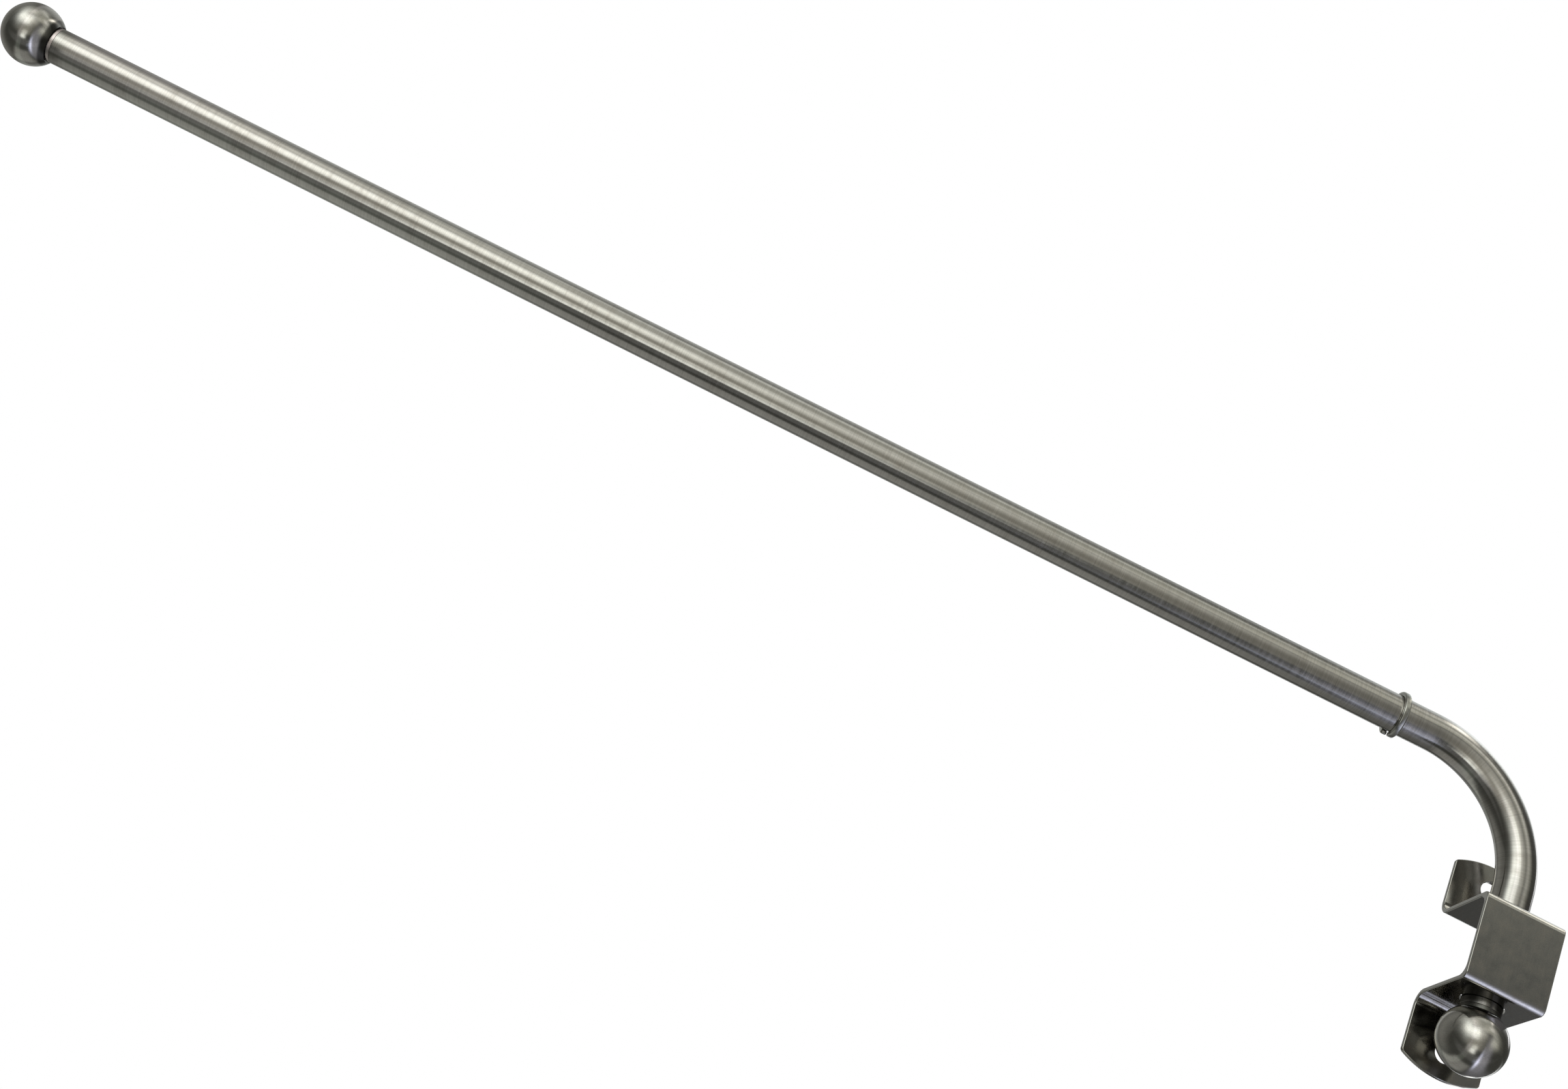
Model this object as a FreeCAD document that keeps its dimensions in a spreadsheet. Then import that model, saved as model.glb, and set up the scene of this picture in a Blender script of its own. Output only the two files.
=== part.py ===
"""Swing arm curtain rod: a bent tube with a ball on each end, carried in a folded wall bracket.

The origin lies on the wall face, midway between the two screw holes. +Z is up, -Y comes out of the
wall and the rod lies along -X, parallel to the wall. Sizes are in millimetres.
"""

import FreeCAD, Part
import math
import os

import Sketcher

# The driving sizes, in millimetres and one angle in degrees
SIZES = {
    "strip_width": 26.5,  # width of the bracket's strip
    "sheet": 1.5,  # thickness of the bracket's strip
    "bend_inside": 3.4,  # inside radius of the bracket's folds
    "front_corner": 2.4,  # outside radius of the two folds at the front, which are struck sharper
    "box_height": 30.0,  # height of the bracket's box over its two arms
    "box_depth": 32.0,  # wall face to the bracket's front face
    "flange_corner": 34.0,  # screw line's middle to a flange's corners
    "flange_arch": 3.4,  # rise of a flange's arched end over its corners
    "corner_round": 1.3,  # radius of the flange corners
    "edge_round": 0.3,  # rounding of the strip's tumbled edges
    "screw_spacing": 58.0,  # distance between the two screw holes
    "screw_hole": 6.0,  # diameter of a screw hole
    "screw_edge": 0.4,  # rounding of a screw hole's front edge
    "pivot_reach": 18.0,  # wall face to the arm's turning axis
    "pivot_clearance": 0.5,  # gap between the tube and the holes that it turns in
    "tube_diameter": 12.7,  # outside diameter of the tube
    "tube_wall": 1.0,  # wall of the tube
    "tube_edge": 0.25,  # rounding of the tube's cut ends
    "elbow_radius": 39.5,  # centre-line radius of the elbow
    "rod_height": 63.6,  # rod's centre line over the screw line's middle
    "rod_reach": 560.1,  # turning axis to the cut end of the rod
    "leg_below": 2.5,  # length of tube that stands out under the lower arm
    "ring_place": 52.2,  # turning axis to the middle of the stop ring
    "ring_width": 1.7,  # width of the stop ring's wire, along the rod
    "ring_height": 1.5,  # height of the stop ring's wire, over the tube
    "ring_pitch": 2.1,  # step of the stop ring's one turn, along the rod
    "ring_corner": 0.35,  # chamfer along the stop ring's wire
    "ring_grip": 0.05,  # gap between the stop ring and the tube
    "ring_gap_angle": 27.0,  # turn of the stop ring's ends, from straight down to the wall side
    "ball_diameter": 22.0,  # diameter of a ball
    "ball_reach": 9.9,  # cut end of the tube to the ball's centre
    "socket_gap": 0.55,  # gap between a plug's flange and the socket in its ball
    "flange_thick": 2.0,  # thickness of a plug's flange
    "flange_step": 0.05,  # step from the tube down to a plug's flange
    "flange_corner_cut": 0.4,  # chamfer of a plug's flange
    "plug_length": 14.0,  # length of a plug inside the tube
    "plug_fit": 0.05,  # gap between a plug and the tube's bore
    "plug_lead": 0.8,  # lead-in chamfer of a plug
    "stud_diameter": 5.0,  # diameter of a stud
    "stud_fit": 0.05,  # gap between a stud and its tapped holes
    "stud_in_plug": 11.0,  # length of a stud in its plug
    "stud_in_ball": 9.0,  # length of a stud in its ball
    "stud_point": 0.5,  # chamfer of a stud's ends
    "tap_room": 1.0,  # depth of a ball's tapped hole past its stud
}

# How far the tube's cut end lies under the screw line's middle
LEG_FOOT = "Sizes.box_height / 2 + Sizes.leg_below"

doc = FreeCAD.newDocument("swing_arm_curtain_rod")
sheet = doc.addObject("Spreadsheet::Sheet", "Sizes")
for row, (alias, value) in enumerate(SIZES.items(), start=1):
    sheet.set("A%d" % row, alias)
    sheet.set("B%d" % row, str(value))
    sheet.setAlias("B%d" % row, alias)
doc.recompute()


def size(alias):
    """A driving size, read from the sheet."""
    return float(sheet.get(alias))


def new_body(label):
    """An empty body for one sub-part."""
    body = doc.addObject("PartDesign::Body", label)
    body.Label = label
    return body


def plane(body, role):
    """One of a body's own origin planes."""
    return next(item for item in body.Origin.OriginFeatures if item.Role == role)


def new_sketch(body, name, role):
    """An empty sketch on one of the body's origin planes."""
    sketch = body.newObject("Sketcher::SketchObject", name)
    sketch.AttachmentSupport = (plane(body, role), "")
    sketch.MapMode = "FlatFace"
    return sketch


def pin_point(sketch, geometry, end, across, up):
    """Sets a point's place from the sketch's origin: each of across and up is a sign and an expression."""
    for kind, (sign, expression) in (("DistanceX", across), ("DistanceY", up)):
        if expression == "0":
            axis = -2 if kind == "DistanceX" else -1
            sketch.addConstraint(Sketcher.Constraint("PointOnObject", geometry, end, axis))
            continue
        point = sketch.getPoint(geometry, end)
        length = abs(point.x if kind == "DistanceX" else point.y)
        ends = (-1, 1, geometry, end) if sign > 0 else (geometry, end, -1, 1)
        index = sketch.addConstraint(Sketcher.Constraint(kind, *ends, length))
        sketch.setExpression("Constraints[%d]" % index, expression)


def outline(sketch, corners):
    """A closed outline of straight lines. A corner is (x, x sign, x expression, y, y sign, y expression)."""
    points = [FreeCAD.Vector(corner[0], corner[3], 0) for corner in corners]
    first = len(sketch.Geometry)
    count = len(points)
    for index in range(count):
        sketch.addGeometry(Part.LineSegment(points[index], points[(index + 1) % count]), False)
    for index in range(count):
        following = (index + 1) % count
        sketch.addConstraint(Sketcher.Constraint("Coincident", first + index, 2, first + following, 1))
    for index, corner in enumerate(corners):
        pin_point(sketch, first + index, 1, corner[1:3], corner[4:6])
    return first


def circle(sketch, x, y, radius, x_expression, y_sign, y_expression, radius_expression):
    """A circle whose centre and radius follow the sheet."""
    index = sketch.addGeometry(Part.Circle(FreeCAD.Vector(x, y, 0), FreeCAD.Vector(0, 0, 1), radius), False)
    pin_point(sketch, index, 3, (1, x_expression), (y_sign, y_expression))
    bound = sketch.addConstraint(Sketcher.Constraint("Radius", index, radius))
    sketch.setExpression("Constraints[%d]" % bound, radius_expression)
    return index


def cut_both_ways(body, name, sketch):
    """A pocket of a sketch that goes right through the body on both sides of its plane."""
    before = body.Tip.Shape.Volume
    pocket = body.newObject("PartDesign::Pocket", name)
    pocket.Profile = sketch
    pocket.Type = "ThroughAll"
    pocket.Midplane = True
    doc.recompute()
    if pocket.Shape.Volume >= before:
        raise RuntimeError(name + " cuts nothing")
    return pocket


def eased(body, name, kind, expression, chosen):
    """A fillet or chamfer, of the size given by the expression, on the edges of the body that are chosen."""
    tip = body.Tip
    edges = ["Edge%d" % (number + 1) for number, edge in enumerate(tip.Shape.Edges) if chosen(edge)]
    if not edges:
        raise RuntimeError(name + " found no edges")
    feature = body.newObject("PartDesign::" + kind, name)
    feature.Base = (tip, edges)
    feature.setExpression("Radius" if kind == "Fillet" else "Size", expression)
    doc.recompute()
    return feature


def near(value, target):
    """Whether two lengths are the same."""
    return abs(value - target) < 1e-4


def turned(label, name, corners):
    """A body turned about its own Z axis from an outline of straight lines, given as radius and height."""
    body = new_body(label)
    sketch = new_sketch(body, name + "_profile", "XZ_Plane")
    outline(sketch, corners)
    turn = body.newObject("PartDesign::Revolution", name + "_turning")
    turn.Profile = sketch
    turn.ReferenceAxis = (sketch, ["V_Axis"])
    doc.recompute()
    return body


def placed(body, turn, base):
    """Turns a body and stands it where the expressions for its x, y and z say."""
    body.Placement = FreeCAD.Placement(FreeCAD.Vector(), turn)
    for axis, expression in base.items():
        body.setExpression("Placement.Base." + axis, expression)
    doc.recompute()


def wall_bracket():
    """One strip of sheet folded into a hat: wall flange, arm, front, arm, wall flange."""
    half_box = size("box_height") / 2
    inner_box = half_box - size("sheet")
    front = size("box_depth")
    inner_front = front - size("sheet")
    tall = size("flange_corner") + size("flange_arch")
    sheet_thick = size("sheet")
    wall = (0, 1, "0")
    flange_face = (-sheet_thick, -1, "Sizes.sheet")
    front_face = (-front, -1, "Sizes.box_depth")
    front_back = (-inner_front, -1, "Sizes.box_depth - Sizes.sheet")

    def level(value, sign, expression):
        return (sign * value, sign, expression)

    upper_end = level(tall, 1, "Sizes.flange_corner + Sizes.flange_arch")
    lower_end = level(tall, -1, "Sizes.flange_corner + Sizes.flange_arch")
    upper_face = level(half_box, 1, "Sizes.box_height / 2")
    lower_face = level(half_box, -1, "Sizes.box_height / 2")
    upper_under = level(inner_box, 1, "Sizes.box_height / 2 - Sizes.sheet")
    lower_over = level(inner_box, -1, "Sizes.box_height / 2 - Sizes.sheet")

    body = new_body("wall_bracket")
    profile = new_sketch(body, "strip_profile", "YZ_Plane")
    outline(profile, [
        wall + upper_end,
        wall + upper_under,
        front_back + upper_under,
        front_back + lower_over,
        wall + lower_over,
        wall + lower_end,
        flange_face + lower_end,
        flange_face + lower_face,
        front_face + lower_face,
        front_face + upper_face,
        flange_face + upper_face,
        flange_face + upper_end,
    ])
    strip = body.newObject("PartDesign::Pad", "strip")
    strip.Profile = profile
    strip.Midplane = True
    strip.setExpression("Length", "Sizes.strip_width")
    doc.recompute()

    def fold_line(places):
        """Picks the edges along X that stand at one of these (y, z) places."""
        def chosen(edge):
            start, end = edge.firstVertex().Point, edge.lastVertex().Point
            along = near(start.y, end.y) and near(start.z, end.z)
            return along and any(near(start.y, y) and near(abs(start.z), z) for y, z in places)
        return chosen

    inside = fold_line([(-sheet_thick, half_box), (-inner_front, inner_box)])
    eased(body, "fold_outside", "Fillet", "Sizes.bend_inside + Sizes.sheet", fold_line([(0, inner_box)]))
    eased(body, "fold_front", "Fillet", "Sizes.front_corner", fold_line([(-front, half_box)]))
    eased(body, "fold_inside", "Fillet", "Sizes.bend_inside", inside)

    # The arched end: all that lies over an arc through the flange's two corners
    half_width = size("strip_width") / 2
    corner = size("flange_corner")
    rise = size("flange_arch")
    radius = (half_width ** 2 + rise ** 2) / (2 * rise)
    opening = math.asin(half_width / radius)
    centre = FreeCAD.Vector(0, corner + rise - radius, 0)
    arch = new_sketch(body, "flange_arch", "XZ_Plane")
    arc = arch.addGeometry(Part.ArcOfCircle(Part.Circle(centre, FreeCAD.Vector(0, 0, 1), radius),
                                            math.pi / 2 - opening, math.pi / 2 + opening), False)
    spare = 2 * rise
    roof = [FreeCAD.Vector(-half_width, corner, 0), FreeCAD.Vector(-half_width, corner + spare, 0),
            FreeCAD.Vector(half_width, corner + spare, 0), FreeCAD.Vector(half_width, corner, 0)]
    sides = [arch.addGeometry(Part.LineSegment(roof[index], roof[index + 1]), False) for index in range(3)]
    arch.addConstraint(Sketcher.Constraint("Coincident", arc, 2, sides[0], 1))
    arch.addConstraint(Sketcher.Constraint("Coincident", sides[0], 2, sides[1], 1))
    arch.addConstraint(Sketcher.Constraint("Coincident", sides[1], 2, sides[2], 1))
    arch.addConstraint(Sketcher.Constraint("Coincident", sides[2], 2, arc, 1))
    half = "Sizes.strip_width / 2"
    top = "Sizes.flange_corner + 2 * Sizes.flange_arch"
    pin_point(arch, sides[0], 1, (-1, half), (1, "Sizes.flange_corner"))
    pin_point(arch, sides[0], 2, (-1, half), (1, top))
    pin_point(arch, sides[2], 1, (1, half), (1, top))
    pin_point(arch, sides[2], 2, (1, half), (1, "Sizes.flange_corner"))
    bound = arch.addConstraint(Sketcher.Constraint("Radius", arc, radius))
    arch.setExpression("Constraints[%d]" % bound,
                       "(Sizes.strip_width ^ 2 / 4 + Sizes.flange_arch ^ 2) / (2 * Sizes.flange_arch)")
    arch_cut = cut_both_ways(body, "arched_end", arch)

    screw = new_sketch(body, "screw_place", "XZ_Plane")
    circle(screw, 0, size("screw_spacing") / 2, size("screw_hole") / 2,
           "0", 1, "Sizes.screw_spacing / 2", "Sizes.screw_hole / 2")
    screw_cut = cut_both_ways(body, "screw_hole", screw)

    mirror = body.newObject("PartDesign::Mirrored", "lower_flange")
    mirror.Originals = [arch_cut, screw_cut]
    mirror.MirrorPlane = (plane(body, "XY_Plane"), [""])
    body.Tip = mirror
    before = screw_cut.Shape.Volume
    doc.recompute()
    if mirror.Shape.Volume >= before:
        raise RuntimeError("the lower flange was left uncut")

    pivot = new_sketch(body, "pivot_place", "XY_Plane")
    reach = size("pivot_reach")
    circle(pivot, 0, -reach, size("tube_diameter") / 2 + size("pivot_clearance"),
           "0", -1, "Sizes.pivot_reach", "Sizes.tube_diameter / 2 + Sizes.pivot_clearance")
    cut_both_ways(body, "pivot_holes", pivot)

    def flange_corner(edge):
        """Picks the short edges through the strip at the four corners."""
        start, end = edge.firstVertex().Point, edge.lastVertex().Point
        through = near(edge.Length, sheet_thick) and near(start.x, end.x) and near(start.z, end.z)
        return through and near(abs(start.x), half_width) and near(abs(start.z), corner)

    eased(body, "corner_rounding", "Fillet", "Sizes.corner_round", flange_corner)

    def long_edge(edge):
        """Picks the edges that run round the strip on both faces of each of its cut sides."""
        box = edge.BoundBox
        on_side = near(box.XMin, box.XMax) and near(abs(box.XMin), half_width)
        between_faces = near(box.ZMin, box.ZMax) and near(box.YLength, sheet_thick)
        return on_side and not between_faces and edge.Length > size("edge_round")

    eased(body, "edge_rounding", "Fillet", "Sizes.edge_round", long_edge)

    def screw_front(edge):
        """Picks the front rims of the screw holes."""
        if not isinstance(edge.Curve, Part.Circle):
            return False
        return near(edge.Curve.Radius, size("screw_hole") / 2) and near(edge.Curve.Center.y, -sheet_thick)

    eased(body, "screw_hole_edge", "Fillet", "Sizes.screw_edge", screw_front)
    return body


def rod_tube():
    """One tube: a short leg through the bracket, a quarter turn and the long rod."""
    radius = size("tube_diameter") / 2
    elbow = size("elbow_radius")
    height = size("rod_height")
    reach = size("rod_reach")
    foot = size("box_height") / 2 + size("leg_below")

    body = new_body("rod_tube")
    path = new_sketch(body, "tube_path", "XZ_Plane")
    leg = path.addGeometry(Part.LineSegment(FreeCAD.Vector(0, -foot, 0),
                                            FreeCAD.Vector(0, height - elbow, 0)), False)
    centre = FreeCAD.Vector(-elbow, height - elbow, 0)
    bend = path.addGeometry(Part.ArcOfCircle(Part.Circle(centre, FreeCAD.Vector(0, 0, 1), elbow),
                                             0, math.pi / 2), False)
    rod = path.addGeometry(Part.LineSegment(FreeCAD.Vector(-elbow, height, 0),
                                            FreeCAD.Vector(-reach, height, 0)), False)
    path.addConstraint(Sketcher.Constraint("Coincident", leg, 2, bend, 1))
    path.addConstraint(Sketcher.Constraint("Coincident", bend, 2, rod, 1))
    pin_point(path, leg, 1, (1, "0"), (-1, LEG_FOOT))
    pin_point(path, leg, 2, (1, "0"), (1, "Sizes.rod_height - Sizes.elbow_radius"))
    pin_point(path, bend, 3, (-1, "Sizes.elbow_radius"), (1, "Sizes.rod_height - Sizes.elbow_radius"))
    path.addConstraint(Sketcher.Constraint("Vertical", rod, 1, bend, 3))
    path.addConstraint(Sketcher.Constraint("Horizontal", rod))
    length = path.addConstraint(Sketcher.Constraint("DistanceX", rod, 2, -1, 1, reach))
    path.setExpression("Constraints[%d]" % length, "Sizes.rod_reach")

    bore = "Sizes.tube_diameter / 2 - Sizes.tube_wall"
    for name, kind, section_radius, expression in (
            ("outside", "AdditivePipe", radius, "Sizes.tube_diameter / 2"),
            ("bore", "SubtractivePipe", radius - size("tube_wall"), bore)):
        section = new_sketch(body, "tube_" + name, "XY_Plane")
        section.AttachmentOffset = FreeCAD.Placement(FreeCAD.Vector(0, 0, -foot), FreeCAD.Rotation())
        section.setExpression("AttachmentOffset.Base.z", "-(%s)" % LEG_FOOT)
        circle(section, 0, 0, section_radius, "0", 1, "0", expression)
        sweep = body.newObject("PartDesign::" + kind, "tube_sweep_" + name)
        sweep.Profile = section
        sweep.Spine = (path, ["Edge1", "Edge2", "Edge3"])
        doc.recompute()

    def cut_rim(edge):
        """Picks the outer rims of the tube's two cut ends."""
        if not isinstance(edge.Curve, Part.Circle) or not near(edge.Curve.Radius, radius):
            return False
        return near(edge.Curve.Center.z, -foot) or near(edge.Curve.Center.x, -reach)

    eased(body, "end_rounding", "Fillet", "Sizes.tube_edge", cut_rim)
    placed(body, FreeCAD.Rotation(), {"y": "-Sizes.pivot_reach"})
    return body


def stop_ring():
    """One open turn of wire, gripping the rod just before the elbow."""
    inner = size("tube_diameter") / 2 + size("ring_grip")
    outer = inner + size("ring_height")
    half = size("ring_width") / 2
    inner_expression = "Sizes.tube_diameter / 2 + Sizes.ring_grip"
    outer_expression = inner_expression + " + Sizes.ring_height"
    half_expression = "Sizes.ring_width / 2"

    body = new_body("stop_ring")
    section = new_sketch(body, "wire_section", "XZ_Plane")
    outline(section, [
        (inner, 1, inner_expression, -half, -1, half_expression),
        (outer, 1, outer_expression, -half, -1, half_expression),
        (outer, 1, outer_expression, half, 1, half_expression),
        (inner, 1, inner_expression, half, 1, half_expression),
    ])
    turn = body.newObject("PartDesign::AdditiveHelix", "ring_turn")
    turn.Profile = section
    turn.ReferenceAxis = (section, ["V_Axis"])
    turn.Mode = "pitch-height-angle"
    turn.setExpression("Pitch", "Sizes.ring_pitch")
    turn.setExpression("Height", "Sizes.ring_pitch")
    doc.recompute()

    def wire_edge(edge):
        """Picks the four long edges of the wire."""
        return edge.Length > size("tube_diameter")

    eased(body, "wire_corners", "Chamfer", "Sizes.ring_corner", wire_edge)

    # The ring's own axis points along the rod to its tip; its ends meet low on the wall side
    ends = math.radians(size("ring_gap_angle"))
    to_ends = FreeCAD.Vector(0, math.sin(ends), -math.cos(ends))
    to_tip = FreeCAD.Vector(-1, 0, 0)
    placed(body, FreeCAD.Rotation(to_ends, to_tip.cross(to_ends), to_tip, "ZXY"), {
        "x": "Sizes.ring_pitch / 2 - Sizes.ring_place",
        "y": "-Sizes.pivot_reach",
        "z": "Sizes.rod_height",
    })
    return body


def finial(prefix, base, outward):
    """A ball on the end of the tube: a plug in the bore, a stud screwed through it and the ball over both.

    Each is turned about its own Z axis, with the tube's cut end at height zero and the ball above. Then it
    is turned to point outward and stood at the cut end, where the expressions in base say.
    """
    fit = size("stud_fit")
    tap = size("stud_diameter") / 2 + fit
    tap_expression = "Sizes.stud_diameter / 2 + Sizes.stud_fit"
    bore = size("tube_diameter") / 2 - size("tube_wall") - size("plug_fit")
    bore_expression = "Sizes.tube_diameter / 2 - Sizes.tube_wall - Sizes.plug_fit"
    rim = size("tube_diameter") / 2 - size("flange_step")
    rim_expression = "Sizes.tube_diameter / 2 - Sizes.flange_step"
    deep = size("plug_length")
    flange = size("flange_thick")

    plug = turned(prefix + "_plug", prefix + "_plug", [
        (tap, 1, tap_expression, -deep, -1, "Sizes.plug_length"),
        (bore, 1, bore_expression, -deep, -1, "Sizes.plug_length"),
        (bore, 1, bore_expression, 0, 1, "0"),
        (rim, 1, rim_expression, 0, 1, "0"),
        (rim, 1, rim_expression, flange, 1, "Sizes.flange_thick"),
        (tap, 1, tap_expression, flange, 1, "Sizes.flange_thick"),
    ])

    def rim_at(radius, height):
        """Picks the circle of this radius at this height."""
        def chosen(edge):
            if not isinstance(edge.Curve, Part.Circle):
                return False
            return near(edge.Curve.Radius, radius) and near(edge.Curve.Center.z, height)
        return chosen

    eased(plug, prefix + "_plug_rim", "Chamfer", "Sizes.flange_corner_cut", rim_at(rim, flange))
    eased(plug, prefix + "_plug_lead", "Chamfer", "Sizes.plug_lead", rim_at(bore, -deep))

    stud_radius = size("stud_diameter") / 2
    low = flange - size("stud_in_plug")
    high = flange + size("stud_in_ball")
    low_expression = "Sizes.stud_in_plug - Sizes.flange_thick"
    high_expression = "Sizes.flange_thick + Sizes.stud_in_ball"
    stud = turned(prefix + "_stud", prefix + "_stud", [
        (0, 1, "0", low, -1, low_expression),
        (stud_radius, 1, "Sizes.stud_diameter / 2", low, -1, low_expression),
        (stud_radius, 1, "Sizes.stud_diameter / 2", high, 1, high_expression),
        (0, 1, "0", high, 1, high_expression),
    ])
    eased(stud, prefix + "_stud_low_end", "Chamfer", "Sizes.stud_point", rim_at(stud_radius, low))
    eased(stud, prefix + "_stud_high_end", "Chamfer", "Sizes.stud_point", rim_at(stud_radius, high))

    # The ball's half section: an arc from the socket's mouth to the far pole, then the tapped hole
    ball_radius = size("ball_diameter") / 2
    centre = size("ball_reach")
    mouth = size("tube_diameter") / 2 + size("socket_gap")
    mouth_expression = "Sizes.tube_diameter / 2 + Sizes.socket_gap"
    mouth_height = centre - math.sqrt(ball_radius ** 2 - mouth ** 2)
    pole = centre + ball_radius
    tap_end = high + size("tap_room")
    ball = new_body(prefix + "_ball")
    profile = new_sketch(ball, prefix + "_ball_profile", "XZ_Plane")
    start_angle = math.atan2(mouth_height - centre, mouth)
    arc = profile.addGeometry(Part.ArcOfCircle(
        Part.Circle(FreeCAD.Vector(0, centre, 0), FreeCAD.Vector(0, 0, 1), ball_radius),
        start_angle, math.pi / 2), False)
    corners = [FreeCAD.Vector(0, pole, 0), FreeCAD.Vector(0, tap_end, 0), FreeCAD.Vector(tap, tap_end, 0),
               FreeCAD.Vector(tap, flange, 0), FreeCAD.Vector(mouth, flange, 0),
               FreeCAD.Vector(mouth, mouth_height, 0)]
    lines = [profile.addGeometry(Part.LineSegment(corners[index], corners[index + 1]), False)
             for index in range(len(corners) - 1)]
    profile.addConstraint(Sketcher.Constraint("Coincident", arc, 2, lines[0], 1))
    for first, second in zip(lines, lines[1:]):
        profile.addConstraint(Sketcher.Constraint("Coincident", first, 2, second, 1))
    profile.addConstraint(Sketcher.Constraint("Coincident", lines[-1], 2, arc, 1))
    profile.addConstraint(Sketcher.Constraint("PointOnObject", arc, 2, -2))
    pin_point(profile, arc, 3, (1, "0"), (1, "Sizes.ball_reach"))
    bound = profile.addConstraint(Sketcher.Constraint("Radius", arc, ball_radius))
    profile.setExpression("Constraints[%d]" % bound, "Sizes.ball_diameter / 2")
    tap_end_expression = high_expression + " + Sizes.tap_room"
    pin_point(profile, lines[1], 1, (1, "0"), (1, tap_end_expression))
    pin_point(profile, lines[2], 1, (1, tap_expression), (1, tap_end_expression))
    pin_point(profile, lines[3], 1, (1, tap_expression), (1, "Sizes.flange_thick"))
    pin_point(profile, lines[4], 1, (1, mouth_expression), (1, "Sizes.flange_thick"))
    profile.addConstraint(Sketcher.Constraint("Vertical", lines[4]))
    turn = ball.newObject("PartDesign::Revolution", prefix + "_ball_turning")
    turn.Profile = profile
    turn.ReferenceAxis = (profile, ["V_Axis"])
    doc.recompute()

    for body in (plug, stud, ball):
        placed(body, FreeCAD.Rotation(FreeCAD.Vector(0, 0, 1), outward), base)
    return [plug, stud, ball]


rod_end = {"x": "-Sizes.rod_reach", "y": "-Sizes.pivot_reach", "z": "Sizes.rod_height"}
leg_end = {"y": "-Sizes.pivot_reach", "z": "-(%s)" % LEG_FOOT}
parts = [wall_bracket(), rod_tube(), stop_ring()]
parts += finial("tip", rod_end, FreeCAD.Vector(-1, 0, 0))
parts += finial("pivot", leg_end, FreeCAD.Vector(0, 0, -1))

doc.recompute()
for item in doc.Objects:
    if "Invalid" in item.State or "Error" in item.State:
        raise RuntimeError("%s failed: %s" % (item.Name, item.State))
for body in parts:
    if body.Shape.isNull() or not body.Shape.isValid() or len(body.Shape.Solids) != 1:
        raise RuntimeError(body.Label + " is not one valid solid")

os.makedirs("parts", exist_ok=True)
for body in parts:
    body.Shape.exportStep("parts/%s.step" % body.Label)
    box = body.Shape.BoundBox
    print("%-14s volume %9.1f  x %8.2f %8.2f  y %7.2f %7.2f  z %7.2f %7.2f" % (
        body.Label, body.Shape.Volume, box.XMin, box.XMax, box.YMin, box.YMax, box.ZMin, box.ZMax))
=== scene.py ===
"""Looks of a swing arm curtain rod: brushed nickel tube, ball finials, stop ring and folded bracket.

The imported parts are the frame. The tube and the stop ring get smooth surfaces of their own, which carry
the direction of the brushing, and the other parts keep their shape and get their finish here.
"""

import math
import typing

import bpy
import numpy as np
from mathutils import Matrix, Vector


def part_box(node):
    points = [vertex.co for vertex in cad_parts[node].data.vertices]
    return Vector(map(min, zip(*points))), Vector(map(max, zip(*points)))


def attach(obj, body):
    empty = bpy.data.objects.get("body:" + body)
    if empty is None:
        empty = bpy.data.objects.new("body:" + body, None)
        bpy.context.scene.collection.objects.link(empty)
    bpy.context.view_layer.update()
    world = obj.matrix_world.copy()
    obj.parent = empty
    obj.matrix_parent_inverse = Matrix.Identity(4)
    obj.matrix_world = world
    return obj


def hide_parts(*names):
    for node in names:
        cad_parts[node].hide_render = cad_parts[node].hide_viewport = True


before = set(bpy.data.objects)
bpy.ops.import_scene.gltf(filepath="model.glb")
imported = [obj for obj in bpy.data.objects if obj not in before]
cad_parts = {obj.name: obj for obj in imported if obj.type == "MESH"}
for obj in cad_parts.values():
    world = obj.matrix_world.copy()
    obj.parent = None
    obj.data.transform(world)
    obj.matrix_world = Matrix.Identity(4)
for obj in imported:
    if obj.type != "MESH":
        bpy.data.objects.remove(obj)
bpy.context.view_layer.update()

bl_info = {
    "name": "Swing arm curtain rod",
    "version": (1, 0, 0),
    "blender": (4, 5, 0),
    "location": "View3D > Sidebar > Curtain rod",
    "description": "Brushed nickel looks for a swing arm curtain rod",
    "category": "Object",
}

TUBE_LOW, TUBE_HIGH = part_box("rod_tube")
RING_LOW, RING_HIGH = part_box("stop_ring")
AXIS_Y = (TUBE_LOW.y + TUBE_HIGH.y) / 2
WALL_SIDE = np.array([0.0, 1.0, 0.0])

# The leg stands on the object's own axis, so the tube's box ends one radius to the right of it
TUBE_RADIUS = TUBE_HIGH.x

# Places along the outside of the tube's leg, elbow and rod, along its bore, and round the cut's rounding
LEG_STEPS = 12
ELBOW_STEPS = 56
ROD_STEPS = 90
BORE_STEPS = 70
RIM_STEPS = 5

# Places along the ring's turn, round its far end and round each corner of its wire
RING_STEPS = 120
KNOB_STEPS = 8
CORNER_STEPS = 7

# How the ring's square end narrows: shares of the bevel's depth, and the wire's size at each
BEVEL_PLACES = np.array([0.0, 0.35, 0.7, 1.0])
BEVEL_SIZES = np.array([0.80, 0.92, 0.98, 1.0])

# Length round a piece on the UV map grain, in metres: about the tube's girth
GRAIN_GIRTH = 0.04

# Where the camera stands, and the turn from the object's axes to its own, whose direction is the axis of the
# turn and whose length is its angle
CAMERA_PLACE = Vector((-0.25542, -0.60005, -0.25672))
CAMERA_TURN = Vector((1.07208, 0.31194, 0.38156))
CAMERA_SHIFT = (0.05341, -0.05708)


def metres(name, value, description):
    """A length setting in metres."""
    return bpy.props.FloatProperty(
        name=name, default=value, min=0.0, unit="LENGTH", precision=5, description=description)


def share(name, value, description):
    """A setting from 0 to 1."""
    return bpy.props.FloatProperty(
        name=name, default=value, min=0.0, max=1.0, subtype="FACTOR", description=description)


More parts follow.
